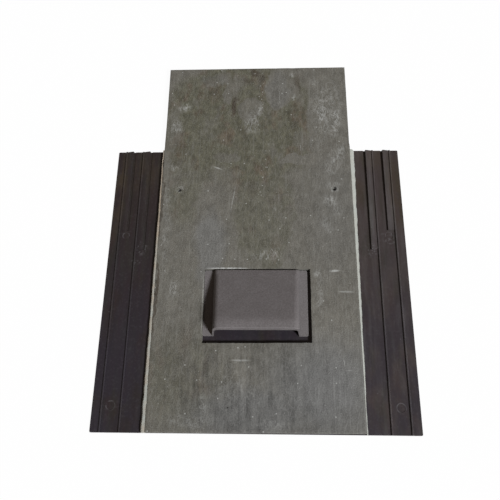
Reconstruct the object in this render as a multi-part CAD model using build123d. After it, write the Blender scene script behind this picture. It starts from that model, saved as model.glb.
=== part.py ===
from build123d import *
import math
import os

os.makedirs("parts", exist_ok=True)

# A natural slate bonded on a moulded plastic vent tray, lying flat with its face up.
# X runs across the tile, Y runs from the tail (bottom edge on the roof) to the head, Z is up.
# The origin is under the middle of the slate, on the plane the tray rests on.

# Slate
SLATE_LENGTH = 500.0
SLATE_WIDTH = 250.0
SLATE_THICK = 6.0
SLATE_EDGE = 0.8  # dressed edge along the face

# Aperture sawn through the slate for the cowl
APERTURE_WIDTH = 130.8
APERTURE_LENGTH = 92.6
APERTURE_FROM_TAIL = 102.8
APERTURE_OFFSET = 1.5  # the saw cut sits a little to the right of the cowl

# Nail holes through the slate and the tray
NAIL_SPACING = 203.0
NAIL_FROM_TAIL = 305.0
NAIL_DIAMETER = 4.0

# Moulded tray
WING_WIDTH = 63.5  # each wing, from the slate's edge to the tray's
TRAY_LENGTH = 366.4
TRAY_THICK = 3.0
TRAY_SKIN = 1.8
TRAY_RIM = 4.0  # width of the rim and ribs that stiffen the underside
TRAY_CORNER = 1.5
UNDER_RIBS_ACROSS = 4
UNDER_RIBS_ALONG = 5

# Weather bars and lugs that stand on each wing, measured from the wing's outer edge
BAR_WIDTH = 2.2
BAR_HEIGHT = 1.6
BAR_ROUND = 0.9
BAR_INSETS = (11.3, 34.0)
LUG_WIDTH = 8.6
LUG_HEIGHT = 2.3
LUG_END_HEIGHT = 1.2  # the step that is left at the lug's end toward the tail
LUG_LENGTHS = (116.4, 142.8)
GROOVE_WIDTH = 2.4  # shallow channel moulded beside each lug
GROOVE_DEPTH = 0.9
EJECTOR_DIAMETER = 10.5
EJECTOR_DEPTH = 0.35
EJECTOR_INSETS = (20.3, 21.6)
EJECTOR_FROM_TAIL = (242.7, 30.3)

# Throat of the tray: an opening behind a weather upstand, closed by a moulded insect grille
THROAT_WIDTH = 84.0
THROAT_LENGTH = 52.0
THROAT_REAR_GAP = 9.8  # from the hood's rear wall to the upstand
UPSTAND_WALL = 2.0
UPSTAND_HEIGHT = 5.0
GRILLE_SLOTS = 12
GRILLE_SLOT_WIDTH = 4.0
GRILLE_BEAM = 3.0

# Cowl: a wedge hood on a flat flange, open toward the tail
FLANGE_THICK = 2.0
FLANGE_CORNER = 2.0
FLANGE_SIDE_GAP = 0.3  # clearance between the flange and the nearer side of the aperture
FLANGE_GAP = 0.6  # clearance between the flange and the head side of the aperture
FLANGE_STRIP = 9.0  # open strip between the flange and the tail side of the aperture
HOOD_WIDTH = 104.4
HOOD_REAR_GAP = 1.6
HOOD_SILL = 3.4  # how far the flange shows in front of the hood's mouth
HOOD_REAR_HEIGHT = 4.0
HOOD_PITCH = 18.4
HOOD_DRAFT = 9.3
HOOD_WALL = 2.0
HOOD_EDGE = 3.0
LIP_RADIUS = 6.0
MOUTH_HEIGHT = 20.0

# Sealant beads along the slate's long edges: width on the tray at the head end and at the tail
BEAD_HEIGHT = 5.4
BEAD_RIGHT = (5.8, 2.6)
BEAD_LEFT = (2.8, 5.2)

TAIL = -SLATE_LENGTH / 2
TRAY_WIDTH = SLATE_WIDTH + 2 * WING_WIDTH
TRAY_HEAD = TAIL + TRAY_LENGTH
SLATE_TOP = TRAY_THICK + SLATE_THICK
FLANGE_TOP = TRAY_THICK + FLANGE_THICK
APERTURE_TAIL = TAIL + APERTURE_FROM_TAIL
APERTURE_HEAD = APERTURE_TAIL + APERTURE_LENGTH
FLANGE_WIDTH = APERTURE_WIDTH - 2 * (abs(APERTURE_OFFSET) + FLANGE_SIDE_GAP)
FLANGE_LENGTH = APERTURE_LENGTH - FLANGE_GAP - FLANGE_STRIP
FLANGE_HEAD = APERTURE_HEAD - FLANGE_GAP
FLANGE_TAIL = FLANGE_HEAD - FLANGE_LENGTH
HOOD_HEAD = APERTURE_HEAD - HOOD_REAR_GAP
HOOD_TAIL = FLANGE_TAIL + HOOD_SILL
HOOD_LENGTH = HOOD_HEAD - HOOD_TAIL
THROAT_HEAD = HOOD_HEAD - HOOD_WALL - THROAT_REAR_GAP - UPSTAND_WALL
THROAT_TAIL = THROAT_HEAD - THROAT_LENGTH
UP = (Align.CENTER, Align.CENTER, Align.MIN)


def block(x0, x1, y0, y1, z0, z1):
    """A block between two opposite corners."""
    middle = ((x0 + x1) / 2, (y0 + y1) / 2, z0)
    return Pos(*middle) * Box(x1 - x0, y1 - y0, z1 - z0, align=UP)


def nail_holes(z0, z1):
    """The two nail holes, between two heights."""
    drill = Cylinder(NAIL_DIAMETER / 2, z1 - z0, align=UP)
    return [
        Pos(side * NAIL_SPACING / 2, TAIL + NAIL_FROM_TAIL, z0) * drill
        for side in (-1, 1)
    ]


def make_slate():
    """The slate: a split sheet with its face edges dressed and an aperture sawn through."""
    body = block(
        -SLATE_WIDTH / 2, SLATE_WIDTH / 2, TAIL, -TAIL, TRAY_THICK, SLATE_TOP
    )
    face = body.faces().sort_by(Axis.Z)[-1]
    body = chamfer(face.edges(), SLATE_EDGE)
    half = APERTURE_WIDTH / 2
    body -= block(
        APERTURE_OFFSET - half,
        APERTURE_OFFSET + half,
        APERTURE_TAIL,
        APERTURE_HEAD,
        TRAY_THICK - 1,
        SLATE_TOP + 1,
    )
    body -= nail_holes(TRAY_THICK - 1, SLATE_TOP + 1)
    return body


def underside_pockets():
    """Shallow pockets that leave a rim and a grid of ribs under the tray."""
    depth = TRAY_THICK - TRAY_SKIN
    wide = (TRAY_WIDTH - TRAY_RIM) / UNDER_RIBS_ALONG
    long = (TRAY_LENGTH - TRAY_RIM) / UNDER_RIBS_ACROSS
    corner = (-TRAY_WIDTH / 2 + TRAY_RIM, TAIL + TRAY_RIM)
    pockets = [
        block(
            corner[0] + i * wide,
            corner[0] + (i + 1) * wide - TRAY_RIM,
            corner[1] + j * long,
            corner[1] + (j + 1) * long - TRAY_RIM,
            0,
            depth,
        )
        for i in range(UNDER_RIBS_ALONG)
        for j in range(UNDER_RIBS_ACROSS)
    ]
    # The throat and the nail holes keep full-thickness pads round them.
    margin = UPSTAND_WALL + TRAY_RIM
    half = THROAT_WIDTH / 2 + margin
    pad = block(-half, half, THROAT_TAIL - margin, THROAT_HEAD + margin, 0, depth)
    boss = Cylinder(NAIL_DIAMETER, depth, align=UP)
    bosses = [
        Pos(side * NAIL_SPACING / 2, TAIL + NAIL_FROM_TAIL, 0) * boss
        for side in (-1, 1)
    ]
    return [cell - pad - bosses for cell in pockets]


def weather_bar(inset):
    """A low rounded bar along the whole wing, with its centre at an inset from the edge."""
    centre = TRAY_WIDTH / 2 - inset
    with BuildSketch(Plane.XZ.offset(-TRAY_HEAD)) as section:
        with Locations((centre, TRAY_THICK + BAR_HEIGHT / 2 - 0.3)):
            Rectangle(BAR_WIDTH, BAR_HEIGHT + 0.6)
        top = section.vertices().group_by(Axis.Z)[-1]
        fillet(top, BAR_ROUND)
    return extrude(section.sketch, TRAY_LENGTH)


def lug(inset, length):
    """A ramped lug beside a bar: steep on its inner side, lower toward the tail."""
    outer = TRAY_WIDTH / 2 - inset - BAR_WIDTH / 2
    inner = outer - LUG_WIDTH
    foot = TRAY_THICK - 0.4
    high = Polyline(
        (inner, foot),
        (inner + 0.6, TRAY_THICK + LUG_HEIGHT),
        (inner + 1.8, TRAY_THICK + LUG_HEIGHT),
        (outer + 0.4, TRAY_THICK + 0.5),
        (outer + 0.4, foot),
        close=True,
    )
    low = Polyline(
        (inner, foot),
        (inner + 0.4, TRAY_THICK + LUG_END_HEIGHT),
        (inner + 1.6, TRAY_THICK + LUG_END_HEIGHT),
        (outer + 0.4, TRAY_THICK + 0.3),
        (outer + 0.4, foot),
        close=True,
    )
    head = Plane.XZ.offset(-TRAY_HEAD) * make_face(high)
    tail = Plane.XZ.offset(-(TRAY_HEAD - length)) * make_face(low)
    return loft([head, tail])


def wing_relief():
    """Bars, lugs, grooves and ejector marks of the right wing: what is added and what is cut."""
    added = []
    cut = []
    for inset, length in zip(BAR_INSETS, LUG_LENGTHS):
        added.append(weather_bar(inset))
        added.append(lug(inset, length))
        inner = TRAY_WIDTH / 2 - inset - BAR_WIDTH / 2 - LUG_WIDTH
        cut.append(
            block(
                inner - GROOVE_WIDTH,
                inner,
                TRAY_HEAD - length,
                TRAY_HEAD,
                TRAY_THICK - GROOVE_DEPTH,
                TRAY_THICK + 1,
            )
        )
    mark = Cylinder(EJECTOR_DIAMETER / 2, 1, align=UP)
    for inset, along in zip(EJECTOR_INSETS, EJECTOR_FROM_TAIL):
        spot = (TRAY_WIDTH / 2 - inset, TAIL + along, TRAY_THICK - EJECTOR_DEPTH)
        cut.append(Pos(*spot) * mark)
    return added, cut


def throat():
    """The weather upstand round the throat, and the slots of the insect grille through the tray."""
    half = THROAT_WIDTH / 2
    wall = block(
        -half - UPSTAND_WALL,
        half + UPSTAND_WALL,
        THROAT_TAIL - UPSTAND_WALL,
        THROAT_HEAD + UPSTAND_WALL,
        TRAY_THICK - 0.5,
        TRAY_THICK + UPSTAND_HEIGHT,
    )
    wall = fillet(wall.edges().filter_by(Axis.Z), UPSTAND_WALL * 1.5)
    wall -= block(
        -half, half, THROAT_TAIL, THROAT_HEAD, TRAY_THICK - 1, TRAY_THICK + UPSTAND_HEIGHT + 1
    )
    pitch = THROAT_WIDTH / GRILLE_SLOTS
    run = (THROAT_LENGTH - GRILLE_BEAM) / 2
    slots = []
    for i in range(GRILLE_SLOTS):
        middle = -half + (i + 0.5) * pitch
        for start in (THROAT_TAIL, THROAT_TAIL + run + GRILLE_BEAM):
            slots.append(
                block(
                    middle - GRILLE_SLOT_WIDTH / 2,
                    middle + GRILLE_SLOT_WIDTH / 2,
                    start,
                    start + run,
                    -1,
                    TRAY_THICK + 1,
                )
            )
    return wall, slots


def make_tray():
    """The tray: a flanged sheet with ribbed wings, a ribbed underside and the throat."""
    body = block(-TRAY_WIDTH / 2, TRAY_WIDTH / 2, TAIL, TRAY_HEAD, 0, TRAY_THICK)
    body = fillet(body.edges().filter_by(Axis.Z), TRAY_CORNER)
    added, cut = wing_relief()
    other = [mirror(shape, Plane.YZ) for shape in added]
    wall, slots = throat()
    body = body + added + other + wall
    body -= cut + [mirror(shape, Plane.YZ) for shape in cut]
    body -= underside_pockets()
    body -= slots + nail_holes(-1, TRAY_THICK + 1)
    return body


def hood_form(inset, floor):
    """The hood as a closed form, or the hollow inside it at a wall's inset, down to a floor height."""
    slope = math.radians(HOOD_PITCH)
    head = HOOD_HEAD - inset
    tail = HOOD_TAIL + inset
    # The roof line drops by one wall, measured square to the slope.
    rear = FLANGE_TOP + HOOD_REAR_HEIGHT - inset / math.cos(slope)
    rear += inset * math.tan(slope)
    front = rear + (head - tail) * math.tan(slope)
    side = Polyline((head, floor), (head, rear), (tail, front), (tail, floor), close=True)
    body = extrude(Plane.YZ * make_face(side), HOOD_WIDTH, both=True)
    lip = body.edges().filter_by(Axis.X).sort_by(Axis.Z)[-1]
    body = fillet(lip, LIP_RADIUS - inset)
    lean = math.tan(math.radians(HOOD_DRAFT))
    foot = HOOD_WIDTH / 2 - inset
    top = front + 1
    across = Polyline(
        (-foot - (FLANGE_TOP - floor) * lean, floor),
        (foot + (FLANGE_TOP - floor) * lean, floor),
        (foot - (top - FLANGE_TOP) * lean, top),
        (-foot + (top - FLANGE_TOP) * lean, top),
        close=True,
    )
    body &= extrude(Plane.XZ.offset(-HOOD_HEAD - 5) * make_face(across), HOOD_LENGTH + 10)
    faces = body.faces().filter_by(lambda f: abs(f.normal_at().X) > 0.9)
    edges = [
        edge
        for face in faces
        for edge in face.edges()
        if edge.center().Z > FLANGE_TOP + 1 and abs(edge.tangent_at(0.5).Z) < 0.999
        and edge.center().Y < head - 0.5
    ]
    return fillet(edges, HOOD_EDGE - inset * 0.8)


def make_cowl():
    """The cowl: flange and hood in one moulding, hollow underneath and open at the mouth."""
    half = FLANGE_WIDTH / 2
    flange = block(-half, half, FLANGE_TAIL, FLANGE_HEAD, TRAY_THICK, FLANGE_TOP)
    flange = fillet(flange.edges().filter_by(Axis.Z), FLANGE_CORNER)
    body = flange + hood_form(0, TRAY_THICK)
    body -= hood_form(HOOD_WALL, TRAY_THICK - 1)
    lean = math.tan(math.radians(HOOD_DRAFT))
    foot = HOOD_WIDTH / 2 - HOOD_WALL
    sill = TRAY_THICK - 1
    top = FLANGE_TOP + MOUTH_HEIGHT
    mouth = Polyline(
        (-foot - (FLANGE_TOP - sill) * lean, sill),
        (foot + (FLANGE_TOP - sill) * lean, sill),
        (foot - (top - FLANGE_TOP) * lean, top),
        (-foot + (top - FLANGE_TOP) * lean, top),
        close=True,
    )
    opening = make_face(mouth)
    opening = fillet(opening.vertices().group_by(Axis.Y)[-1], HOOD_EDGE)
    plane = Plane.XZ.offset(-HOOD_TAIL - HOOD_WALL * 2)
    body -= extrude(plane * opening, HOOD_WALL * 2 + HOOD_SILL + 3)
    return body


def bead_section(y, width, side):
    """Cross-section of a bead: flat against the slate and the tray, its free side slightly full."""
    edge = SLATE_WIDTH / 2
    wall = Line((side * edge, TRAY_THICK), (side * edge, TRAY_THICK + BEAD_HEIGHT))
    bulge = (side * (edge + width * 0.62), TRAY_THICK + BEAD_HEIGHT * 0.6)
    free = ThreePointArc(wall @ 1, bulge, (side * (edge + width), TRAY_THICK))
    base = Line(free @ 1, wall @ 0)
    return Plane.XZ.offset(-y) * make_face(Curve() + [wall, free, base])


def make_bead(widths, side):
    """A sealant bead from the tray's head edge to the tail."""
    return loft(
        [bead_section(TRAY_HEAD, widths[0], side), bead_section(TAIL, widths[1], side)],
        ruled=True,
    )


export_step(make_slate(), "parts/slate.step")
export_step(make_tray(), "parts/base_tray.step")
export_step(make_cowl(), "parts/vent_cowl.step")
export_step(make_bead(BEAD_RIGHT, 1), "parts/sealant_bead_right.step")
export_step(make_bead(BEAD_LEFT, -1), "parts/sealant_bead_left.step")
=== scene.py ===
"""Dresses a slate vent tile: riven slate, moulded plastic tray and cowl, hand-laid sealant beads."""

import math

import bmesh
import bpy
from mathutils import Matrix, Vector, noise


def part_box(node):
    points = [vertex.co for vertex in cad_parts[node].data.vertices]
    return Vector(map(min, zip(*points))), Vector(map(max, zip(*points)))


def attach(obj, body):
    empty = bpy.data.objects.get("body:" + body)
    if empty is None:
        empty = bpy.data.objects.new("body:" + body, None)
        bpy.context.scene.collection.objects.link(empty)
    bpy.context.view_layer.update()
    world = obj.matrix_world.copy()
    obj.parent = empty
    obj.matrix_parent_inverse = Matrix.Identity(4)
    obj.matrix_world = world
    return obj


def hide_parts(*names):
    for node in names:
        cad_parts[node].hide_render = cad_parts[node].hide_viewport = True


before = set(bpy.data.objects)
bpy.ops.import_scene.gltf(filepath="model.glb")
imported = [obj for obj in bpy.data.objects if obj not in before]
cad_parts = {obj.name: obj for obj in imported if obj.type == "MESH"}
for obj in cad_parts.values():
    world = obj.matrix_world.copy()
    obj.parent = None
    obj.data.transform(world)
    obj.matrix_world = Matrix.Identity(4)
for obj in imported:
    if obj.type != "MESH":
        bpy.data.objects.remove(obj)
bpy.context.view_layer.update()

bl_info = {
    "name": "Slate Vent Tile",
    "version": (1, 0, 0),
    "blender": (4, 5, 0),
    "location": "View3D > Sidebar > Vent Tile",
    "description": "Builds the looks of a slate vent tile on its CAD frame",
    "category": "Add Mesh",
}

MM = 0.001
ACROSS = (1, 0, 0)
ALONG = (0, 1, 0)
SHARP = math.radians(28)


def linear(code):
    """A colour's sRGB hex code as linear red, green and blue."""
    channels = [int(code[i : i + 2], 16) / 255 for i in (1, 3, 5)]
    return [c / 12.92 if c <= 0.04045 else ((c + 0.055) / 1.055) ** 2.4 for c in channels]


def colour(name, description, code):
    """A colour setting that starts from a hex code."""
    return bpy.props.FloatVectorProperty(
        name=name, description=description, subtype="COLOR", size=3, min=0, max=1, default=linear(code)
    )


def length(name, description, millimetres):
    """A length setting that starts from a size in millimetres."""
    return bpy.props.FloatProperty(
        name=name, description=description, unit="LENGTH", precision=5, default=millimetres * MM
    )


def angle(name, description, degrees):
    """An angle setting that starts from a size in degrees."""
    return bpy.props.FloatProperty(
        name=name, description=description, subtype="ANGLE", default=math.radians(degrees)
    )


def number(name, description, value):
    """A setting that is a plain number."""
    return bpy.props.FloatProperty(name=name, description=description, default=value)


class SlateSettings(bpy.types.PropertyGroup):
    """Sizes and colours of the slate."""

    grid: length("Grid", "Spacing of the face's mesh", 2.5)
    aperture_left: length("Aperture left", "Left cut edge of the aperture", -63.9)
    aperture_right: length("Aperture right", "Right cut edge of the aperture", 66.9)
    aperture_tail: length("Aperture tail", "Cut edge nearest the tail", -147.2)
    aperture_head: length("Aperture head", "Cut edge nearest the head", -54.6)
    nail_spacing: length("Nail spacing", "Distance between the nail holes", 203)
    nail_line: length("Nail line", "Height of the nail holes up the slate", 55)
    nail_radius: length("Nail hole radius", "Radius of a punched nail hole", 2)
    waves: length("Waves", "Depth of the riven face's slow waves", 0.16)
    steps: length("Steps", "Depth of the steps between cleavage layers", 0.22)
    chips: length("Chips", "Depth of the largest chips along the dressed edges", 0.6)
    turn: angle("Turn", "How far the slate sits out of square", 0.23)
    draw_in: length("Draw-in", "Height up the slate where its long edges start to draw in", 122)
    left_taper: length("Left taper", "How far the left edge draws in by the head", 2.1)
    right_taper: length("Right taper", "How far the right edge draws in by the head", 0.4)
    shoulder: length("Shoulder", "Step in the right edge where it starts to draw in", 0.9)
    saw_run: length("Saw run-out", "How far the saw ran past the aperture's tail edge", 1.5)
    brown: colour("Brown", "Olive film of the weathered face", "#575648")
    russet: colour("Russet", "Red-brown blotches in the film", "#5A4F42")
    stain: colour("Stain", "Dark stains in the film", "#3E362B")
    grey: colour("Grey", "Fresh grey of the face", "#636159")
    blue: colour("Blue grey", "Cool grey near the tail", "#646564")
    scuff: colour("Scuff", "Powdered slate in scratches and scuffs", "#AFB1AD")
    cut: colour("Cut edge", "Sawn and chipped edges", "#8E8F88")
    # Black here is painted shade in pits and at the nail holes' rims.
    pit_shade: colour("Pit", "Small pits and the rims of the nail holes", "#000000")


class TraySettings(bpy.types.PropertyGroup):
    """Finish of the moulded tray."""

    edge: length("Edge", "Rounding of the moulded edges", 0.25)
    # The right wing's paler colour is partly wear and dust, and partly a painted sheen.
    plastic: colour("Plastic", "Brown-black of the worn right wing", "#453F3D")
    shade: colour("Shade", "Purple-black of the cleaner parts", "#292424")
    soil: colour("Soil", "Brown soil on the head of the wings", "#40372A")
    red: colour("Red bands", "Reddish bands of filler", "#35282A")
    olive: colour("Olive bands", "Greenish bands of filler", "#2F2F27")
    violet: colour("Violet tint", "Violet tint of the tail half", "#2B2831")
    # This pale colour also paints the highlight on the bars and lugs.
    dust: colour("Dust", "Pale slate dust and rub marks", "#878789")


class CowlSettings(bpy.types.PropertyGroup):
    """Shape and finish of the moulded cowl."""

    flange: length("Flange", "Thickness of the flange", 2)
    corner: length("Flange corner", "Radius of the flange's corners", 2)
    rim: length("Flange rim", "Rounding of the flange's upper rim", 0.3)
    wall: length("Wall", "Thickness of the hood's wall", 2)
    width: length("Hood width", "Width of the hood at its foot", 106.2)
    offset: length("Hood offset", "How far the hood stands to the right on its flange", 1.2)
    rear_gap: length("Rear gap", "Flange that shows behind the hood", 1)
    rear: length("Rear height", "Height of the hood's rear wall", 6)
    crease: length("Crease", "Half the length over which the roof bends into the lip", 3.5)
    end: length("End", "Rounding of the roof's two ends", 1)
    lip: length("Lip", "Length of the level lip, from its crease to the foot of the mouth", 13.7)
    setback: length("Setback", "How far the mouth leans back at the height of the lip", 3)
    lip_height: length("Lip height", "Height above the flange at which the setback is taken", 25)
    mouth: length("Mouth height", "Height of the mouth above the flange", 20)
    mouth_edge: length("Mouth edge", "Rounding of the mouth's upper corners", 5)
    edge: length("Edge", "Rounding of the hood's long edges", 7)
    pitch: angle("Pitch", "Rise of the hood's roof", 16.8)
    draft: angle("Draft", "Lean of the hood's sides", 6.3)
    plastic: colour("Plastic", "Grey of the cowl", "#5F5B5A")
    bloom: colour("Bloom", "Paler grains of the moulding", "#736F6F")


class SealantSettings(bpy.types.PropertyGroup):
    """Sizes and colours of the sealant beads."""

    right_head: length("Right bead at head", "Width of the right bead at the head", 5.8)
    right_tail: length("Right bead at tail", "Width of the right bead at the tail", 2.6)
    left_head: length("Left bead at head", "Width of the left bead at the head", 2.8)
    left_tail: length("Left bead at tail", "Width of the left bead at the tail", 5.2)
    gap_place: length("Gap place", "Where the left bead has pulled off the slate", 96)
    gap_reach: length("Gap reach", "Half the length of the stretch that has pulled off", 12)
    step: length("Step", "Length of one stretch of bead in the mesh", 2)
    fresh: colour("Fresh", "Clean off-white sealant", "#A9ADA6")
    stained: colour("Stained", "Cream sealant with brown stains", "#A89D8C")


class StageSettings(bpy.types.PropertyGroup):
    """Camera, light and floor."""

    camera_x: length("Camera X", "Camera's place across the tile", 19.9)
    camera_y: length("Camera Y", "Camera's place along the tile", -297)
    camera_z: length("Camera Z", "Camera's height above the floor", 691.8)
    tilt: angle("Camera tilt", "How far the camera looks up the tile from straight down", 21.415)
    lean: angle("Camera lean", "How far the camera leans to the side", 2.014)
    pan: angle("Camera pan", "How far the camera is turned on the plan", 0.732)
    focal: number("Focal length", "Lens in millimetres on a 36 mm frame", 42.06)
    sun: number("Key light", "Strength of the key light", 4.1)
    spread: angle("Key spread", "Angle across the key light, which softens its shadows", 13)
    sun_from: bpy.props.FloatVectorProperty(
        name="Key direction",
        description="Where the key light comes from",
        subtype="XYZ",
        default=(0.85, -0.82, 1),
    )
    sky: number("Fill light", "Strength of the even fill", 0.135)
    floor: colour("Floor", "White studio floor", "#EDEDED")
    plain: number("Plain white", "Share of plain white in the floor that the camera sees", 0.97)


def add_node(tree, kind, links=None, **settings):
    """Adds a node, sets its own settings, and links or sets its inputs by name or number."""
    made = tree.nodes.new(kind)
    for key, value in settings.items():
        setattr(made, key, value)
    for key, value in (links or {}).items():
        if isinstance(value, bpy.types.NodeSocket):
            tree.links.new(value, made.inputs[key])
        else:
            made.inputs[key].default_value = value
    return made


def new_material(name):
    """An empty node material, its tree and its object coordinates."""
    material = bpy.data.materials.new(name)
    material.use_nodes = True
    material.node_tree.nodes.clear()
    tree = material.node_tree
    return material, tree, add_node(tree, "ShaderNodeTexCoord").outputs["Object"]


def close_material(tree, relief, depth, **inputs):
    """Ends a tree: a relief with its real depth in millimetres, the shader and the output."""
    normal = add_node(tree, "ShaderNodeBump", {"Height": relief, "Strength": 1, "Distance": depth * MM})
    # An underscore in an input's name stands for a space.
    links = {key.replace("_", " "): value for key, value in inputs.items()}
    shader = add_node(tree, "ShaderNodeBsdfPrincipled", {**links, "Normal": normal.outputs[0]})
    add_node(tree, "ShaderNodeOutputMaterial", {"Surface": shader.outputs[0]})


def mottle(tree, place, size, low, high, detail=3, shift=0, turn=0):
    """A cloudy pattern with a size in millimetres, 0 under the low level and 1 over the high one."""
    sizes = [part * MM for part in (size if isinstance(size, tuple) else (size,) * 3)]
    space = add_node(
        tree,
        "ShaderNodeMapping",
        {
            "Vector": place,
            "Location": (shift, shift, shift),
            "Rotation": (0, 0, math.radians(turn)),
            "Scale": sizes,
        },
        vector_type="TEXTURE",
    )
    cloud = add_node(
        tree,
        "ShaderNodeTexNoise",
        {"Vector": space.outputs[0], "Scale": 1, "Detail": detail, "Roughness": 0.6},
    )
    return add_node(
        tree,
        "ShaderNodeMapRange",
        {"Value": cloud.outputs["Fac"], "From Min": low, "From Max": high},
        interpolation_type="SMOOTHSTEP",
    ).outputs["Result"]


def wobbled(tree, place, size, reach):
    """A place pushed about by roughly a reach in millimetres, which gives patches uneven borders."""
    noisy = {"Vector": place, "Scale": 1 / (size * MM), "Detail": 4}
    cloud = add_node(tree, "ShaderNodeTexNoise", noisy).outputs["Color"]
    centred = add_node(tree, "ShaderNodeVectorMath", {0: cloud, 1: (0.5,) * 3}, operation="SUBTRACT")
    pushed = {0: centred.outputs[0], 1: (4 * reach * MM,) * 3, 2: place}
    return add_node(tree, "ShaderNodeVectorMath", pushed, operation="MULTIPLY_ADD").outputs[0]


def spot(tree, place, centre, size, turn, core):
    """A soft oval on the face, from its centre, half sizes and turn: 1 in its core, 0 outside."""
    # The third scale is so large that the height on the piece doesn't count.
    local = add_node(
        tree,
        "ShaderNodeMapping",
        {
            "Vector": place,
            "Location": (centre[0] * MM, centre[1] * MM, 0),
            "Rotation": (0, 0, math.radians(turn)),
            "Scale": (size[0] * MM, size[1] * MM, 1000),
        },
        vector_type="TEXTURE",
    )
    reach = add_node(tree, "ShaderNodeVectorMath", {0: local.outputs[0]}, operation="LENGTH")
    return add_node(
        tree,
        "ShaderNodeMapRange",
        {"Value": reach.outputs["Value"], "From Min": 1, "From Max": core},
        interpolation_type="SMOOTHSTEP",
    ).outputs["Result"]


def spots(tree, place, *ovals):
    """Several soft ovals, each given by its centre, half sizes, turn, core and strength."""
    total = 0
    for x, y, across, along, turn, core, strength in ovals:
        drawn = spot(tree, place, (x, y), (across, along), turn, core)
        total = join(tree, "MAXIMUM", total, join(tree, "MULTIPLY", drawn, strength))
    return total


def join(tree, operation, *values):
    """Folds several values into one with a math operation."""
    total = values[0]
    for value in values[1:]:
        total = add_node(tree, "ShaderNodeMath", {0: total, 1: value}, operation=operation).outputs[0]
    return total


def blend(tree, amount, under, over):
    """A colour laid over another by an amount."""
    layers = {0: amount}
    for index, layer in ((6, under), (7, over)):
        layers[index] = layer if isinstance(layer, bpy.types.NodeSocket) else (*layer, 1)
    return add_node(tree, "ShaderNodeMix", layers, data_type="RGBA").outputs[2]


def specks(tree, place, spacing, radius, share, shift=0):
    """Scattered small dots: one may lie in each cell, and only a share of the cells has one."""
    space = add_node(tree, "ShaderNodeMapping", {"Vector": place, "Location": (shift, shift, 0)})
    cells = add_node(
        tree,
        "ShaderNodeTexVoronoi",
        {"Vector": space.outputs[0], "Scale": 1 / (spacing * MM)},
        voronoi_dimensions="2D",
    )
    dot = add_node(
        tree,
        "ShaderNodeMapRange",
        {
            "Value": cells.outputs["Distance"],
            "From Min": radius / spacing,
            "From Max": 0.4 * radius / spacing,
        },
    )
    chosen = join(tree, "GREATER_THAN", cells.outputs["Color"], 1 - share)
    return join(tree, "MULTIPLY", dot.outputs["Result"], chosen)


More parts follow.
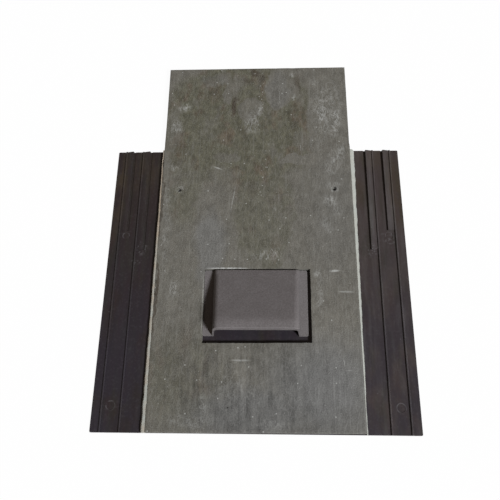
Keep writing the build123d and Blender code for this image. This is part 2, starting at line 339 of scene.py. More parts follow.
def riven_slate(settings):
    """Natural slate, split along its cleavage: dull, grained head to tail, filmed and scratched."""
    material, tree, place = new_material("natural_slate_riven")
    rough_place = wobbled(tree, place, 26, 6)
    # An olive-brown film covers most of the head half. It has flaked off in patches with clear borders.
    film = spots(
        tree,
        rough_place,
        (-25, 160, 118, 110, 0, 0.82, 1),
        (10, 20, 44, 86, 0, 0.8, 0.68),
        (-95, 60, 30, 70, 0, 0.5, 0.7),
        (-85, -190, 75, 80, 0, 0.3, 0.55),
    )
    flakes = spots(
        tree,
        rough_place,
        (30, 219, 19, 42, -6, 0.9, 1),
        (46, 216, 13, 18, 0, 0.85, 0.9),
        (-9, 181, 17, 21, 0, 0.9, 0.85),
        (-42, 204, 8, 16, 0, 0.9, 0.9),
        (-48, 232, 12, 14, 0, 0.6, 0.5),
        (-76, 226, 16, 16, 0, 0.6, 0.2),
        (-40, 104, 22, 9, 0, 0.6, 0.7),
        (-45, 72, 30, 26, 0, 0.5, 0.6),
        (66, 62, 22, 22, 0, 0.5, 0.4),
        (-60, -12, 26, 64, 0, 0.88, 0.9),
        (-45, -44, 12, 20, 0, 0.8, 0.5),
        (62, 103, 34, 7, 5, 0.85, 1),
        (62, 130, 14, 18, 0, 0.7, 0.5),
        (60, 49, 40, 4, 6, 0.5, 0.6),
        (98, 150, 32, 80, 0, 0.85, 1),
        (-114, 150, 14, 50, 0, 0.6, 0.6),
    )
    kept = join(tree, "SUBTRACT", 1, flakes)
    patchy = mottle(tree, place, (30, 50, 30), 0.3, 0.5, 5, 1.3)
    film = join(tree, "MULTIPLY", film, kept, patchy)
    hue = mottle(tree, place, (22, 34, 20), 0.5, 0.68, 4, 4.6)
    brown = blend(tree, join(tree, "MULTIPLY", hue, 0.7), settings.brown, settings.russet)
    base = blend(tree, film, settings.grey, brown)
    cool = spots(
        tree,
        rough_place,
        (80, -200, 100, 90, 0, 0.2, 0.8),
        (100, 20, 50, 120, 0, 0.3, 0.2),
        (28, 212, 15, 36, 0, 0.7, 0.25),
        (0, -228, 112, 46, 0, 0.3, 0.7),
        (-59, -24, 25, 66, 0, 0.5, 0.55),
        (-62, 228, 26, 14, 0, 0.5, 0.3),
    )
    base = blend(tree, cool, base, settings.blue)
    stains = spots(
        tree,
        rough_place,
        (-31, 184, 5.5, 24, 0, 0.5, 1),
        (-3, 243, 9, 9, 0, 0.4, 0.9),
        (-62, 206, 18, 15, 0, 0.2, 0.5),
        (4, 234, 8, 12, 0, 0.3, 0.7),
        (-15, 230, 14, 9, 0, 0.2, 0.5),
        (56, 222, 7, 24, 0, 0.2, 0.6),
        (50, 160, 12, 40, 0, 0.2, 0.35),
        (-20, 140, 9, 22, 0, 0.2, 0.3),
        (-104, 110, 14, 24, 0, 0.2, 0.35),
        (-8, 60, 12, 30, 0, 0.2, 0.25),
        (-124.4, 40, 2.6, 80, 0, 0.5, 0.8),
        (-124, -90, 2.2, 70, 0, 0.5, 0.9),
        (124, 112, 3, 5, 0, 0.4, 0.8),
    )
    base = blend(tree, join(tree, "MULTIPLY", stains, 0.85), base, settings.stain)
    # Grain streaks of about 2 mm run head to tail. The crystals' speckle is really much finer, and is
    # drawn at 1.5 mm so that it shows.
    streak = mottle(tree, place, (2.4, 36, 10), 0.3, 0.7, 3, 0.4)
    speckle = mottle(tree, place, 1.5, 0.28, 0.72, 2, 5.1)
    cloud = mottle(tree, place, (10, 16, 12), 0.3, 0.7, 5, 7.7)
    # Bands run down the tail, which is darker on its left and at its end, and paler on its right.
    tail_part = spots(tree, place, (0, -200, 118, 66, 0, 0.7, 0.34))
    bands = join(tree, "SUBTRACT", mottle(tree, place, (8, 80, 10), 0.34, 0.68, 3, 6.2), 0.56)
    bands = join(tree, "MULTIPLY", bands, tail_part)
    uneven = join(
        tree,
        "SUBTRACT",
        spots(
            tree,
            rough_place,
            (92, -160, 42, 90, 0, 0.4, 0.1),
            (-59, -24, 25, 66, 0, 0.5, 0.09),
            (66, 103, 40, 8, 5, 0.8, 0.05),
        ),
        spots(tree, place, (-70, -170, 70, 90, 0, 0.3, 0.1), (0, -240, 130, 50, 0, 0.4, 0.17)),
    )
    # The film itself is blotched darker and paler.
    blotches = join(tree, "SUBTRACT", mottle(tree, place, (5, 8, 6), 0.32, 0.68, 4, 11.3), 0.5)
    blotches = join(tree, "MULTIPLY", blotches, film, 0.34)
    tone = join(
        tree,
        "ADD",
        join(tree, "MULTIPLY", streak, 0.12),
        join(tree, "MULTIPLY", speckle, 0.3),
        join(tree, "MULTIPLY", cloud, 0.26),
        0.66,
        bands,
        uneven,
        blotches,
    )
    base = add_node(
        tree, "ShaderNodeMix", {0: 1.0, 6: base, 7: tone}, data_type="RGBA", blend_type="MULTIPLY"
    ).outputs[2]
    # Powdered scratches: short strokes in webs, smears across the grain, and loose specks. The webs stay
    # on the plain place: drawn on the pushed one, they left the whole slate black.
    webs = spots(
        tree,
        place,
        (90, 171, 15, 24, 0, 0.3, 0.9),
        (107, 160, 11, 38, -8, 0.2, 0.9),
        (96, 180, 32, 66, 0, 0.3, 0.55),
        (84, 140, 9, 60, 0, 0.2, 0.3),
        (80, 225, 10, 16, 0, 0.1, 0.5),
        (96, 39, 15, 14, 0, 0.2, 0.8),
        (100, 62, 16, 8, 0, 0.2, 0.7),
        (104, 24, 10, 10, 0, 0.2, 0.7),
        (92, 5, 16, 18, 0, 0.1, 0.5),
        (78, -85, 9, 40, 0, 0.2, 0.45),
        (76, -60, 8, 10, 0, 0.2, 0.6),
        (-101, 184, 13, 10, 0, 0.2, 1),
        (-111, 152, 11, 21, 0, 0.2, 0.9),
        (-112, 89, 11, 8, 0, 0.2, 0.7),
        (-117, 48, 7, 24, 0, 0.2, 0.6),
        (-8, 158, 15, 26, 0, 0.2, 0.9),
        (2, 178, 8, 18, 0, 0.1, 0.7),
        (48, 237, 7, 6, 0, 0.2, 0.9),
        (50, 200, 5, 12, 0, 0.2, 0.7),
        (23.6, -31, 10, 8, 0, 0.3, 1),
        (14, -36, 30, 12, 0, 0.2, 0.5),
        (104, 100, 14, 36, -24, 0.4, 0.6),
        (101, 56, 8, 8, 0, 0.5, 0.7),
        (-101, 56, 7, 7, 0, 0.5, 0.8),
        (23.6, 24, 4, 15, 0, 0.2, 0.6),
        (-102, -80, 8, 12, 0, 0.3, 1),
        (-100, -84, 18, 34, 0, 0.1, 0.3),
        (-20, -200, 60, 60, 0, 0.1, 0.3),
        (-75, -238, 50, 14, 0, 0.1, 0.4),
        (20, -240, 40, 12, 0, 0.1, 0.4),
        (40, -215, 60, 40, 0, 0.1, 0.25),
        (-60, -222, 8, 26, 0, 0.2, 0.5),
        (-115, 0, 10, 120, 0, 0.1, 0.4),
    )
    strokes = join(
        tree,
        "MAXIMUM",
        mottle(tree, place, (1.5, 10, 9), 0.54, 0.64, 2, 0.2, -14),
        mottle(tree, place, (1.3, 7, 6), 0.56, 0.66, 2, 2.2, 24),
        mottle(tree, place, (6, 1.4, 5), 0.6, 0.7, 2, 3.2, 10),
    )
    haze = mottle(tree, place, (7, 10, 7), 0.34, 0.62, 4, 8.8)
    lines = curls(tree, place, (11, 24, 12), 1.4)
    lines = join(tree, "MAXIMUM", lines, curls(tree, place, (15, 20, 12), 5.9))
    lines = join(tree, "MULTIPLY", lines, haze)
    lines = join(tree, "MAXIMUM", lines, join(tree, "MULTIPLY", strokes, 0.6))
    web = join(
        tree,
        "MULTIPLY",
        webs,
        join(tree, "ADD", join(tree, "MULTIPLY", lines, 0.75), join(tree, "MULTIPLY", haze, 0.06)),
    )
    smears = spots(
        tree,
        place,
        (97, -57, 9, 2.2, 3, 0.2, 0.8),
        (110, -84, 14, 1.8, -2, 0.2, 0.45),
        (-17, -168, 16, 2, 0, 0.2, 0.5),
        (-52, 88, 9, 1.6, -20, 0.2, 0.6),
        (-30.5, 42.5, 0.6, 28, -8.6, 0.3, 0.6),
        (31, 200, 0.5, 16, 0, 0.3, 0.4),
        (58.5, 119, 0.6, 8, 0, 0.3, 0.5),
        (72.8, 126, 0.5, 9, 0, 0.3, 0.45),
        (29, 45, 0.5, 8, 0, 0.3, 0.35),
        (-35, -53.6, 31, 1.1, 0, 0.6, 0.9),
        (-64.5, -100, 1, 46, 0, 0.6, 0.4),
        (104, -170, 0.6, 9, 8, 0.3, 0.5),
        (109, -179, 5, 0.6, 0, 0.3, 0.45),
    )
    smears = join(tree, "MULTIPLY", smears, mottle(tree, place, 2.5, 0.22, 0.55, 2, 9.1))
    faint = join(tree, "MULTIPLY", mottle(tree, place, (0.9, 70, 20), 0.63, 0.72, 1, 6.6), 0.13)
    hatch = join(tree, "MULTIPLY", strokes, 0.1)
    trail = join(
        tree,
        "MULTIPLY",
        spots(tree, place, (4, 190, 6, 60, -3, 0.5, 1), (10, 85, 5, 60, -8, 0.5, 1)),
        specks(tree, place, 4.5, 0.9, 0.4, 5.5),
    )
    dots = join(
        tree,
        "MAXIMUM",
        specks(tree, place, 19, 1.05, 0.3),
        join(tree, "MULTIPLY", specks(tree, place, 9, 0.8, 0.18, 3.7), 0.45),
        trail,
    )
    pale = join(tree, "MAXIMUM", web, smears, faint, hatch, join(tree, "MULTIPLY", dots, 0.75))
    base = blend(tree, pale, base, settings.scuff)
    # Painted shade: black dots stand for the shade in small pits, and black rings for the shade at the
    # nail holes' rims.
    pits = join(tree, "MULTIPLY", specks(tree, place, 26, 0.8, 0.16, 8.4), 0.6)
    painted_hole_shade = spots(
        tree,
        place,
        (-30.7, -222, 1.6, 1.2, 0, 0.2, 1),
        (-101, 55, 3, 3, 0, 0.6, 0.8),
        (102, 56, 3, 4, -35, 0.6, 0.8),
    )
    base = blend(tree, join(tree, "MAXIMUM", pits, painted_hole_shade), base, settings.pit_shade)
    relief = join(tree, "ADD", join(tree, "MULTIPLY", streak, 0.4), speckle, cloud)
    rough = add_node(
        tree, "ShaderNodeMapRange", {"Value": cloud, "To Min": 0.55, "To Max": 0.7}
    ).outputs["Result"]
    close_material(tree, relief, 0.09, Base_Color=base, Roughness=rough)
    return material


def cut_slate(settings):
    """The slate's sawn and dressed edges: paler and rougher than the face, and layered."""
    material, tree, place = new_material("natural_slate_cut_edge")
    # Cleavage layers of about half a millimetre lie one on another through the thickness.
    layers = mottle(tree, place, (12, 12, 0.55), 0.35, 0.7, 3, 0.7)
    crumbs = mottle(tree, place, 1.8, 0.3, 0.7, 3, 2.2)
    tone = join(tree, "MULTIPLY", layers, crumbs)
    base = blend(tree, tone, settings.grey, settings.cut)
    height = join(tree, "ADD", layers, crumbs)
    close_material(tree, height, 0.12, Base_Color=base, Roughness=0.75)
    return material


def curls(tree, place, size, shift):
    """Thin curly lines: the borders between the high and the low parts of a cloudy pattern."""
    rise = mottle(tree, place, size, 0.47, 0.5, 4, shift)
    fall = mottle(tree, place, size, 0.5, 0.53, 4, shift)
    return join(tree, "SUBTRACT", rise, fall)


def ring(tree, place, centre, radius, width):
    """A thin ring on a face, sizes in millimetres: 1 on its line, 0 beside it."""
    middle = (centre[0] * MM, centre[1] * MM, 0)
    local = add_node(tree, "ShaderNodeVectorMath", {0: place, 1: middle}, operation="SUBTRACT")
    flat = add_node(
        tree, "ShaderNodeVectorMath", {0: local.outputs[0], 1: (1, 1, 0)}, operation="MULTIPLY"
    )
    reach = add_node(tree, "ShaderNodeVectorMath", {0: flat.outputs[0]}, operation="LENGTH")
    off = join(tree, "SUBTRACT", reach.outputs["Value"], radius * MM)
    near = add_node(tree, "ShaderNodeMath", {0: off}, operation="ABSOLUTE").outputs[0]
    return add_node(
        tree, "ShaderNodeMapRange", {"Value": near, "From Min": width * MM, "From Max": 0}
    ).outputs["Result"]


def tray_plastic(settings):
    """Polypropylene with recycled black filler, injection moulded: a satin skin that holds pale dust."""
    material, tree, place = new_material("moulded_polypropylene_black")
    parts = add_node(tree, "ShaderNodeSeparateXYZ", {0: place})
    # The right wing is painted paler than the rest: partly its wear and dust, and partly a painted sheen
    # of the key light.
    worn_and_sheen = add_node(
        tree, "ShaderNodeMapRange", {"Value": parts.outputs["X"], "From Min": 0.09, "From Max": 0.13}
    ).outputs["Result"]
    flow = mottle(tree, place, (40, 80, 40), 0.3, 0.7, 4, 1.1)
    right_wing = blend(tree, join(tree, "MULTIPLY", flow, 0.3), settings.plastic, settings.shade)
    base = blend(tree, worn_and_sheen, settings.shade, right_wing)
    # The filler has run in head-to-tail bands, some of them redder and some greener.
    bands = mottle(tree, place, (7, 90, 40), 0.35, 0.65, 3, 8.2)
    base = blend(tree, join(tree, "MULTIPLY", bands, 0.4), base, settings.red)
    greener = mottle(tree, place, (10, 60, 40), 0.45, 0.66, 4, 12.6)
    base = blend(tree, join(tree, "MULTIPLY", greener, 0.45), base, settings.olive)
    tailward = add_node(
        tree, "ShaderNodeMapRange", {"Value": parts.outputs["Y"], "From Min": 0.02, "From Max": -0.16}
    ).outputs["Result"]
    violet = mottle(tree, place, (26, 50, 40), 0.3, 0.58, 4, 15.3)
    base = blend(tree, join(tree, "MULTIPLY", violet, tailward, 0.65), base, settings.violet)
    # Soil has tinted the head of both wings brown, most along their outer edges.
    tinted = spots(
        tree,
        place,
        (182, 60, 16, 90, 4, 0.3, 0.5),
        (135, 60, 10, 40, 0, 0.2, 0.45),
        (160, 105, 40, 30, 0, 0.2, 0.4),
        (-182, 50, 14, 90, -4, 0.3, 0.6),
        (-150, 85, 40, 50, 0, 0.2, 0.4),
    )
    tint = join(tree, "MULTIPLY", tinted, mottle(tree, place, (9, 26, 12), 0.3, 0.6, 4, 2.7))
    base = blend(tree, tint, base, settings.soil)
    # Painted highlight: the upper faces of the bars and lugs are painted a little paler than the skin
    # below, more on the right wing, for the light they catch.
    raised = add_node(
        tree, "ShaderNodeMapRange", {"Value": parts.outputs["Z"], "From Min": 0.0033, "From Max": 0.0042}
    ).outputs["Result"]
    painted_top_highlights = join(
        tree,
        "MULTIPLY",
        raised,
        join(tree, "ADD", join(tree, "MULTIPLY", worn_and_sheen, 0.05), 0.03),
        join(tree, "ADD", mottle(tree, place, (3, 22, 9), 0.3, 0.7, 3, 5.2), 0.5),
    )
    # Dust lies in faint wipes down the tray, in the ejector marks, and thickest by the lugs' lower ends.
    wipes = mottle(tree, place, (7, 60, 30), 0.45, 0.8, 4, 3.1)
    rubbed = spots(
        tree,
        place,
        (146, -27, 12, 14, 0, 0.2, 0.8),
        (170, -12, 12, 12, 0, 0.2, 0.8),
        (-146, -24, 10, 14, 0, 0.2, 0.8),
        (-152, -42, 9, 8, 0, 0.2, 0.7),
        (162, -4, 7, 5, 25, 0.2, 0.8),
    )
    grit = join(tree, "MAXIMUM", rubbed, 0.1)
    grit = join(tree, "MULTIPLY", grit, mottle(tree, place, 2.4, 0.5, 0.7, 4, 6.1))
    marks = join(
        tree,
        "MAXIMUM",
        ring(tree, place, (168, -7), 4.2, 0.9),
        ring(tree, place, (-168, -7), 4.2, 0.9),
        ring(tree, place, (167, -220), 5.2, 0.9),
        ring(tree, place, (-167, -220), 5.2, 0.9),
    )
    marks = join(tree, "MULTIPLY", marks, mottle(tree, place, 6, 0.36, 0.6, 2, 7.3), 0.28)
    dots = specks(tree, place, 16, 0.7, 0.16, 2.3)
    # The pale colour here carries both real dust and the painted highlight on the bars and lugs.
    dust = join(
        tree,
        "ADD",
        join(tree, "MULTIPLY", wipes, join(tree, "ADD", join(tree, "MULTIPLY", worn_and_sheen, 0.07), 0.01)),
        join(tree, "MULTIPLY", grit, 0.45),
        join(tree, "MULTIPLY", dots, 0.25),
        painted_top_highlights,
        marks,
    )
    base = blend(tree, dust, base, settings.dust)
    # The skin's grain is finer than this, and is drawn at 1.2 mm so that it shows.
    grain = mottle(tree, place, 1.2, 0.2, 0.8, 2, 0.9)
    rough = add_node(
        tree, "ShaderNodeMapRange", {"Value": wipes, "To Min": 0.34, "To Max": 0.44}
    ).outputs["Result"]
    close_material(tree, grain, 0.03, Base_Color=base, Roughness=rough)
    return material


def cowl_plastic(settings):
    """ABS moulded in a spark-eroded tool: matte grey with a fine even grain that kills the gloss."""
    material, tree, place = new_material("moulded_abs_grained_grey")
    bloom = mottle(tree, place, 14, 0.3, 0.72, 4, 2.6)
    # Spark grain is finer than this, and is drawn at 1.5 mm so that it shows.
    grain = mottle(tree, place, 1.5, 0.3, 0.7, 2, 4.4)
    amount = join(tree, "ADD", join(tree, "MULTIPLY", bloom, 0.25), join(tree, "MULTIPLY", grain, 0.75))
    base = blend(tree, amount, settings.plastic, settings.bloom)
    close_material(tree, grain, 0.1, Base_Color=base, Roughness=0.62, Specular_IOR_Level=0.4)
    return material


def sealant(settings):
    """Butyl sealant from a gun: off-white, satin, stained brown where dust has stuck."""
    material, tree, place = new_material("butyl_sealant_off_white")
    parts = add_node(tree, "ShaderNodeSeparateXYZ", {0: place})
    left = add_node(
        tree, "ShaderNodeMapRange", {"Value": parts.outputs["X"], "From Min": 0.01, "From Max": -0.01}
    )
    # The left bead is dirty from the head down, and clean only over its last part by the tail.
    soiled = add_node(
        tree, "ShaderNodeMapRange", {"Value": parts.outputs["Y"], "From Min": -0.12, "From Max": 0.04}
    )
    dirty = join(tree, "MULTIPLY", left.outputs["Result"], soiled.outputs["Result"], 0.6)
    stain = join(
        tree,
        "MULTIPLY",
        mottle(tree, place, (14, 20, 14), 0.34, 0.6, 4, 1.9),
        join(tree, "ADD", join(tree, "MULTIPLY", left.outputs["Result"], 0.5), 0.15),
    )
    base = blend(tree, join(tree, "ADD", stain, dirty), settings.fresh, settings.stained)
    lumps = mottle(tree, place, 3, 0.3, 0.7, 3, 3.4)
    close_material(tree, lumps, 0.15, Base_Color=base, Roughness=0.5)
    return material


def place_piece(mesh_tool, name, materials, node):
    """Turns a finished bmesh into the piece that stands for a CAD node."""
    for edge in mesh_tool.edges:
        if len(edge.link_faces) == 2 and edge.calc_face_angle() > SHARP:
            edge.smooth = False
    for face in mesh_tool.faces:
        face.smooth = True
    mesh = bpy.data.meshes.new(name)
    mesh_tool.to_mesh(mesh)
    mesh_tool.free()
    for material in materials:
        mesh.materials.append(material)
    piece = bpy.data.objects.new(name, mesh)
    bpy.context.scene.collection.objects.link(piece)
    # Large flat faces keep their own normals, and only the rounded edges blend.
    even = piece.modifiers.new("even_shading", "WEIGHTED_NORMAL")
    even.keep_sharp = True
    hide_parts(node)
    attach(piece, "root")


def wander(x, y, millimetres, seed):
    """Smooth noise of a real size, from -1 to 1."""
    return noise.noise(Vector((x, y, seed * 0.37)) / (millimetres * MM))


def fade(distance, width):
    """1 at an edge, falling to 0 at a width from it."""
    return max(0.0, 1 - distance / width) ** 1.5


def flat_grid(mesh_tool, low, high, height, across=1, along=1):
    """A flat grid over the plan of a box, at a height."""
    middle = (low + high) / 2
    size = high - low
    return bmesh.ops.create_grid(
        mesh_tool,
        x_segments=across,
        y_segments=along,
        size=0.5,
        matrix=Matrix.Translation((middle.x, middle.y, height)) @ Matrix.Diagonal((*size.xy, 1, 1)),
    )


def cut_across(mesh_tool, axis, *places):
    """Cuts a flat mesh square to an axis, at several places along it."""
    for place in places:
        geometry = mesh_tool.verts[:] + mesh_tool.edges[:] + mesh_tool.faces[:]
        bmesh.ops.bisect_plane(
            mesh_tool, geom=geometry, dist=1e-6, plane_co=Vector(axis) * place, plane_no=axis
        )


def slate_sheet(settings):
    """The slate's mesh: a grid cut to the aperture and nail holes, thickened, riven and chipped."""
    low, high = (Vector(corner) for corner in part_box("slate"))
    size = high - low
    sheet = bmesh.new()
    flat_grid(sheet, low, high, high.z, round(size.x / settings.grid), round(size.y / settings.grid))
    left, right = settings.aperture_left, settings.aperture_right
    tail, head = settings.aperture_tail, settings.aperture_head
    cut_across(sheet, ACROSS, left, right)
    cut_across(sheet, ALONG, tail, head)
    # Two more cuts by each outer edge give the chips their points.
    for inset in (0.7 * MM, 1.8 * MM):
        cut_across(sheet, ACROSS, low.x + inset, high.x - inset)
        cut_across(sheet, ALONG, low.y + inset, high.y - inset)
    gone = []
    for face in sheet.faces:
        middle = face.calc_center_median()
        if left < middle.x < right and tail < middle.y < head:
            gone.append(face)
    bmesh.ops.delete(sheet, geom=gone, context="FACES")
    for side in (-1, 1):
        nail = Vector((side * settings.nail_spacing / 2, settings.nail_line, high.z))
        reach = 2.4 * settings.nail_radius
        near = [f for f in sheet.faces if (f.calc_center_median() - nail).length < reach]
        rim = [e for e in sheet.edges if sum(f in near for f in e.link_faces) == 1]
        bmesh.ops.delete(sheet, geom=near, context="FACES")
        hole = bmesh.ops.create_circle(
            sheet, segments=len(rim), radius=settings.nail_radius, matrix=Matrix.Translation(nail)
        )
        punched = {e for v in hole["verts"] for e in v.link_edges}
        bmesh.ops.bridge_loops(sheet, edges=rim + list(punched))
    thick = bmesh.ops.extrude_face_region(sheet, geom=sheet.faces[:])
    under = [item for item in thick["geom"] if isinstance(item, bmesh.types.BMVert)]
    bmesh.ops.translate(sheet, verts=under, vec=(0, 0, -size.z))
    bmesh.ops.recalc_face_normals(sheet, faces=sheet.faces[:])
    for face in sheet.faces:
        face.material_index = 1 if abs(face.normal.z) < 0.5 else 0
    middle_height = (low.z + high.z) / 2
    for vert in sheet.verts:
        x, y = vert.co.x, vert.co.y
        top = vert.co.z > middle_height
        seed = 1 if top else 9
        outer = min(x - low.x, high.x - x, y - low.y, high.y - y)
        beyond = Vector((max(left - x, 0, x - right), max(tail - y, 0, y - head)))
        inner = beyond.length
        drop = settings.waves * (0.5 + 0.5 * wander(x, y * 0.6, 70, seed))
        layer = wander(x, y * 0.5, 55, seed + 3) + 0.35 * wander(x, y, 14, seed + 4)
        drop += settings.steps * min(1, max(0, layer * 9 - 1.2)) * 0.5
        drop += 0.03 * MM * (1 + wander(x, y, 6, seed + 5))
        chip = max(0, wander(x, y, 11, seed + 6) * 1.5 + wander(x, y, 3.5, seed + 7) * 0.8 - 0.25)
        chip = min(chip, 1)
        drop += (0.22 * MM + settings.chips * chip) * fade(outer, 2.2 * MM)
        drop += (0.08 * MM + 0.35 * settings.chips * chip) * fade(inner, 1.6 * MM)
        vert.co.z += -drop if top else drop * 0.6
        if outer < 1e-6:
            pull = 0.2 * MM + 0.2 * MM * wander(x, y, 18, 20) + (0.5 * MM * chip if top else 0)
            # The hand-dressed long edges draw in toward the head, the right one with a shoulder.
            above = max(0, y - settings.draw_in)
            share = above / (high.y - settings.draw_in) * (abs(y) < high.y - 1e-6)
            if x < 0:
                pull += settings.left_taper * share
            else:
                pull += min(settings.shoulder, 0.2 * above) + settings.right_taper * share
            inward = Vector((-x / (size.x / 2), -y / (size.y / 2), 0))
            inward.x = inward.x if abs(inward.x) > 1 - 1e-5 else 0
            inward.y = inward.y if abs(inward.y) > 1 - 1e-5 else 0
            # The ends are dressed short, which leaves room for the turn on the tray.
            vert.co += inward * (pull + abs(inward.y) * settings.turn * size.x / 2)
        if inner < 1e-6:
            away = wander(x, y, 24, 31) * 0.35 * MM + (0.3 * MM * chip if top else 0)
            vert.co.x += away * ((x > right - 1e-6) - (x < left + 1e-6))
            vert.co.y += away * ((y > head - 1e-6) - (y < tail + 1e-6))
            # The saw ran out a little at the tail edge, most left of the middle.
            vert.co.y -= settings.saw_run * fade(abs(x + 25 * MM), 55 * MM) * (y < tail + 1e-6)
    turn = Matrix.Rotation(settings.turn, 4, "Z")
    bmesh.ops.transform(sheet, matrix=turn, verts=sheet.verts[:])
    return sheet


def soften(mesh_tool, edges, width, segments):
    """Rounds some edges by a width."""
    bmesh.ops.bevel(
        mesh_tool,
        geom=edges,
        offset=width,
        offset_type="OFFSET",
        segments=segments,
        profile=0.5,
        affect="EDGES",
        clamp_overlap=True,
        material=-1,
    )


def softened_copy(node, width):
    """A merged copy of a CAD node, with its sharp moulded edges rounded."""
    copy = bmesh.new()
    copy.from_mesh(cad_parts[node].data)
    bmesh.ops.remove_doubles(copy, verts=copy.verts[:], dist=1e-6)
    bmesh.ops.dissolve_degenerate(copy, dist=1e-6, edges=copy.edges[:])
    sharp = [e for e in copy.edges if len(e.link_faces) == 2 and e.calc_face_angle() > math.radians(40)]
    soften(copy, sharp, width, 2)
    return copy


def cowl_flange(settings, low, high):
    """The cowl's flange: a thin plate, cut away under the hood and in front of its mouth."""
    plate = bmesh.new()
    flat_grid(plate, low, high, low.z)
    inner = settings.width / 2 - settings.wall
    left, right = settings.offset - inner, settings.offset + inner
    rear = high.y - settings.rear_gap - settings.wall
    cut_across(plate, ACROSS, left, right)
    cut_across(plate, ALONG, rear)
    gone = []
    for face in plate.faces:
        middle = face.calc_center_median()
        if left < middle.x < right and middle.y < rear:
            gone.append(face)
    bmesh.ops.delete(plate, geom=gone, context="FACES")
    raised = bmesh.ops.extrude_face_region(plate, geom=plate.faces[:])["geom"]
    top = [item for item in raised if isinstance(item, bmesh.types.BMVert)]
    bmesh.ops.translate(plate, verts=top, vec=(0, 0, settings.flange))
    bmesh.ops.recalc_face_normals(plate, faces=plate.faces[:])
    corners = []
    for edge in plate.edges:
        foot, top = (vert.co for vert in edge.verts)
        upright = abs(foot.z - top.z) > 1e-4
        at_side = abs(abs(foot.x) - high.x) < 1e-5
        at_end = min(abs(foot.y - low.y), abs(foot.y - high.y)) < 1e-5
        if upright and at_side and at_end:
            corners.append(edge)
    soften(plate, corners, settings.corner, 4)
    rims = []
    for edge in plate.edges:
        above = min(vert.co.z for vert in edge.verts) > low.z + 1e-4
        if above and len(edge.link_faces) == 2 and edge.calc_face_angle() > 1:
            rims.append(edge)
    soften(plate, rims, settings.rim, 2)
    return plate


def hood_height(y, rear, front, settings):
    """Height of the roof above the flange: it climbs to the crease, then runs level along the lip."""
    slope = math.tan(settings.pitch)
    crease = front + settings.lip
    top = settings.rear + (rear - crease) * slope
    past = crease - y
    if past < -settings.crease:
        height = top + slope * past
    else:
        height = top - slope * max(0, settings.crease - past) ** 2 / (4 * settings.crease)
    # Both ends are rounded over.
    inside = min(rear - y, y - front)
    if inside < settings.end:
        height -= settings.end - math.sqrt(settings.end**2 - (settings.end - inside) ** 2)
    return height


def hood_section(width, height, edge, draft):
    """The hood's section across: leaning sides, rounded long edges and a flat roof."""
    edge = min(edge, 0.8 * height)
    straight = height - edge
    centre = width / 2 - straight * math.tan(draft) - edge / math.cos(draft)
    side = [(width / 2, 0), (width / 2 - straight / 2 * math.tan(draft), straight / 2)]
    for step in range(8):
        bend = draft + (math.pi / 2 - draft) * step / 7
        side.append((centre + edge * math.cos(bend), straight + edge * math.sin(bend)))
    return [(-x, z) for x, z in side] + [(x, z) for x, z in reversed(side)]


def cowl_mesh(settings):
    """The cowl: a flange, and on it a grid that is bent over into the hood and thickened to a shell."""
    low, high = (Vector(corner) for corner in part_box("vent_cowl"))
    cowl = cowl_flange(settings, low, high)
    rear = high.y - settings.rear_gap
    front = low.y + 0.1 * MM
    # Sections stand close together over the rounded ends, and evenly between them.
    fine = [step * settings.end for step in (0, 0.06, 0.2, 0.45, 0.75, 1)]
    coarse = 24
    span = rear - front - 2 * settings.end
    stations = [rear - step for step in fine]
    stations += [rear - settings.end - span * step / coarse for step in range(1, coarse)]
    stations += [front + step for step in reversed(fine)]
    foot = hood_section(settings.width, settings.rear, settings.edge, settings.draft)
    sections = [[(x, 0) for x, _ in foot]]
    for y in stations:
        height = hood_height(y, rear, front, settings)
        sections.append(hood_section(settings.width, height, settings.edge, settings.draft))
    opening = settings.width - 2 * settings.wall
    sections.append(hood_section(opening, settings.mouth, settings.mouth_edge, settings.draft))
    stations = [rear, *stations, front]
    columns, rows = len(foot) - 1, len(sections) - 1
    made = bmesh.ops.create_grid(cowl, x_segments=columns, y_segments=rows, size=0.5)
    for vert in made["verts"]:
        across = round((vert.co.x + 0.5) * columns)
        along = round((vert.co.y + 0.5) * rows)
        x, z = sections[along][across]
        y = stations[along]
        # The mouth leans back from its foot to the lip.
        lean = settings.setback * z / settings.lip_height * max(0, 1 - (y - front) / settings.lip)
        vert.co = (x + settings.offset, y + lean, low.z + settings.flange + z)
    hood = list({face for vert in made["verts"] for face in vert.link_faces})
    bmesh.ops.recalc_face_normals(cowl, faces=hood)
    # A negative thickness makes the wall grow inward.
    bmesh.ops.solidify(cowl, geom=hood, thickness=-settings.wall)
    bmesh.ops.remove_doubles(cowl, verts=cowl.verts[:], dist=1e-6)
    bmesh.ops.recalc_face_normals(cowl, faces=cowl.faces[:])
    return cowl


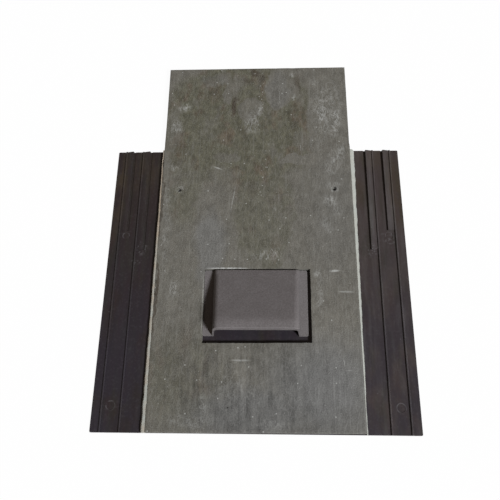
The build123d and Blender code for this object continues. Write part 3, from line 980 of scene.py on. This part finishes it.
def bead_mesh(node, side, head_width, tail_width, turn, settings):
    """A hand-laid bead: one section drawn out along the slate's edge, then made uneven."""
    low, high = (Vector(corner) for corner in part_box(node))
    height = high.z - low.z
    slate_edge = (low.x if side > 0 else high.x) * side
    if side > 0:
        profile = ((0, 0), (0, 0.5), (0, 1), (0.3, 0.93), (0.62, 0.72), (0.86, 0.4), (1, 0))
    else:
        # The left bead was pressed flat along its top.
        profile = ((0, 0), (0, 0.5), (0, 1), (0.35, 1), (0.68, 0.94), (0.93, 0.6), (1, 0))
    bead = bmesh.new()
    loop = [bead.verts.new((u, low.y, v)) for u, v in profile]
    edges = [bead.edges.new(pair) for pair in zip(loop, loop[1:] + loop[:1])]
    steps = round((high.y - low.y) / settings.step)
    bmesh.ops.contextual_create(bead, geom=edges)
    for _ in range(steps):
        drawn = bmesh.ops.extrude_edge_only(bead, edges=edges)["geom"]
        verts = [item for item in drawn if isinstance(item, bmesh.types.BMVert)]
        edges = [item for item in drawn if isinstance(item, bmesh.types.BMEdge)]
        bmesh.ops.translate(bead, verts=verts, vec=(0, (high.y - low.y) / steps, 0))
    bmesh.ops.contextual_create(bead, geom=edges)
    for vert in bead.verts:
        u, y, v = vert.co
        along = (y - low.y) / (high.y - low.y)
        width = tail_width + (head_width - tail_width) * along
        uneven = 0.16 * wander(side, y, 9, 3) + 0.12 * wander(side, y, 30, 5)
        lift = 0.94 + 0.06 * wander(side, y, 12, 8)
        dip = 0
        if side < 0:
            # The left bead has pulled off the slate for a finger's width below the tray's head.
            dip = max(0, 1 - abs(y - settings.gap_place) / settings.gap_reach)
        # A gun leaves the bead fuller here and there, but never wider than its solid.
        reach = width * min(1, 0.93 + uneven)
        inner = slate_edge - side * math.sin(turn) * y - 0.3 * MM
        x = inner + u * (slate_edge + reach - inner) + (0.45 * width * dip * (1 - u) * v)
        z = low.z + v * height * lift * (1 - 0.45 * dip * (1 - u))
        vert.co = (side * x, y, z)
    # The points were moved one by one, so the normals are made anew before they are turned outward.
    bead.normal_update()
    bmesh.ops.recalc_face_normals(bead, faces=bead.faces[:])
    return bead


class VENTTILE_OT_slate(bpy.types.Operator):
    """Build the slate with its riven face, sawn aperture and nail holes"""

    bl_idname = "vent_tile.slate"
    bl_label = "Slate"

    def execute(self, context):
        settings = context.scene.vent_tile_slate
        materials = (riven_slate(settings), cut_slate(settings))
        place_piece(slate_sheet(settings), "riven_slate", materials, "slate")
        return {"FINISHED"}


class VENTTILE_OT_tray(bpy.types.Operator):
    """Build the moulded tray with softened edges"""

    bl_idname = "vent_tile.tray"
    bl_label = "Tray"

    def execute(self, context):
        settings = context.scene.vent_tile_tray
        copy = softened_copy("base_tray", settings.edge)
        place_piece(copy, "moulded_tray", (tray_plastic(settings),), "base_tray")
        return {"FINISHED"}


class VENTTILE_OT_cowl(bpy.types.Operator):
    """Build the moulded cowl from its flange and its hood"""

    bl_idname = "vent_tile.cowl"
    bl_label = "Cowl"

    def execute(self, context):
        settings = context.scene.vent_tile_cowl
        material = cowl_plastic(settings)
        place_piece(cowl_mesh(settings), "moulded_cowl", (material,), "vent_cowl")
        return {"FINISHED"}


class VENTTILE_OT_sealant(bpy.types.Operator):
    """Lay the two sealant beads along the slate's edges"""

    bl_idname = "vent_tile.sealant"
    bl_label = "Sealant beads"

    def execute(self, context):
        settings = context.scene.vent_tile_sealant
        material = sealant(settings)
        turn = context.scene.vent_tile_slate.turn
        beads = (
            ("right", 1, settings.right_head, settings.right_tail),
            ("left", -1, settings.left_head, settings.left_tail),
        )
        for name, side, head_width, tail_width in beads:
            node = f"sealant_bead_{name}"
            bead = bead_mesh(node, side, head_width, tail_width, turn, settings)
            place_piece(bead, f"bead_{name}", (material,), node)
        return {"FINISHED"}


class VENTTILE_OT_stage(bpy.types.Operator):
    """Set up the floor, the light and the camera"""

    bl_idname = "vent_tile.stage"
    bl_label = "Stage"

    def execute(self, context):
        settings = context.scene.vent_tile_stage
        floor_mesh = bpy.data.meshes.new("studio_floor")
        plane = bmesh.new()
        bmesh.ops.create_grid(plane, x_segments=1, y_segments=1, size=4)
        plane.to_mesh(floor_mesh)
        plane.free()
        floor = bpy.data.objects.new("studio_floor", floor_mesh)
        context.scene.collection.objects.link(floor)
        material, tree, _ = new_material("studio_floor_white")
        rays = add_node(tree, "ShaderNodeLightPath")
        seen = join(
            tree,
            "MAXIMUM",
            rays.outputs["Is Camera Ray"],
            rays.outputs["Is Glossy Ray"],
            rays.outputs["Is Transmission Ray"],
        )
        paint = add_node(tree, "ShaderNodeBsdfDiffuse", {"Color": (*settings.floor, 1)})
        glow = add_node(tree, "ShaderNodeEmission", {"Color": (1, 1, 1, 1), "Strength": 1.0})
        share = join(tree, "MULTIPLY", seen, settings.plain)
        layers = {0: share, 1: paint.outputs[0], 2: glow.outputs[0]}
        mixed = add_node(tree, "ShaderNodeMixShader", layers)
        add_node(tree, "ShaderNodeOutputMaterial", {"Surface": mixed.outputs[0]})
        floor_mesh.materials.append(material)
        self.light(context, settings)
        self.camera(context, settings)
        context.scene.view_settings.view_transform = "Standard"
        return {"FINISHED"}

    def light(self, context, settings):
        """One broad key from the tail's right, and an even fill from all round."""
        key = bpy.data.lights.new("key_light", "SUN")
        key.energy = settings.sun
        key.angle = settings.spread
        key.color = (1, 1.01, 1.05)
        lamp = bpy.data.objects.new("key_light", key)
        lamp.rotation_euler = Vector(settings.sun_from).to_track_quat("Z", "Y").to_euler()
        context.scene.collection.objects.link(lamp)
        world = bpy.data.worlds.new("studio_fill")
        world.use_nodes = True
        tree = world.node_tree
        tree.nodes.clear()
        rays = add_node(tree, "ShaderNodeLightPath")
        seen = join(tree, "MAXIMUM", rays.outputs["Is Camera Ray"], rays.outputs["Is Transmission Ray"])
        # The fill is warmer than the key.
        fill = add_node(
            tree, "ShaderNodeBackground", {"Color": (1, 0.82, 0.68, 1), "Strength": settings.sky}
        )
        white = add_node(tree, "ShaderNodeBackground", {"Color": (1, 1, 1, 1), "Strength": 1.0})
        mixed = add_node(tree, "ShaderNodeMixShader", {0: seen, 1: fill.outputs[0], 2: white.outputs[0]})
        add_node(tree, "ShaderNodeOutputWorld", {"Surface": mixed.outputs[0]})
        context.scene.world = world

    def camera(self, context, settings):
        """The camera stands over the tail and looks up the tile."""
        lens = bpy.data.cameras.new("tile_camera")
        lens.sensor_width = 36
        lens.lens = settings.focal
        lens.clip_start = 0.01
        camera = bpy.data.objects.new("tile_camera", lens)
        camera.location = (settings.camera_x, settings.camera_y, settings.camera_z)
        camera.rotation_euler = (settings.tilt, settings.lean, settings.pan)
        context.scene.collection.objects.link(camera)
        context.scene.camera = camera


class VENTTILE_PT_panel(bpy.types.Panel):
    """Buttons that build the tile piece by piece"""

    bl_label = "Vent Tile"
    bl_idname = "VENTTILE_PT_panel"
    bl_space_type = "VIEW_3D"
    bl_region_type = "UI"
    bl_category = "Vent Tile"

    def draw(self, context):
        for operator in OPERATORS:
            self.layout.operator(operator.bl_idname)


OPERATORS = (
    VENTTILE_OT_slate,
    VENTTILE_OT_tray,
    VENTTILE_OT_cowl,
    VENTTILE_OT_sealant,
    VENTTILE_OT_stage,
)
SETTINGS = {
    "vent_tile_slate": SlateSettings,
    "vent_tile_tray": TraySettings,
    "vent_tile_cowl": CowlSettings,
    "vent_tile_sealant": SealantSettings,
    "vent_tile_stage": StageSettings,
}


def register():
    """Registers the settings, the operators and the panel."""
    for name, group in SETTINGS.items():
        bpy.utils.register_class(group)
        setattr(bpy.types.Scene, name, bpy.props.PointerProperty(type=group))
    for item in (*OPERATORS, VENTTILE_PT_panel):
        bpy.utils.register_class(item)


def unregister():
    """Removes what register added."""
    for item in (VENTTILE_PT_panel, *reversed(OPERATORS)):
        bpy.utils.unregister_class(item)
    for name, group in reversed(SETTINGS.items()):
        delattr(bpy.types.Scene, name)
        bpy.utils.unregister_class(group)


def main():
    """Builds the whole tile in order."""
    register()
    bpy.ops.vent_tile.slate()
    bpy.ops.vent_tile.tray()
    bpy.ops.vent_tile.cowl()
    bpy.ops.vent_tile.sealant()
    bpy.ops.vent_tile.stage()


if __name__ == "__main__":
    main()
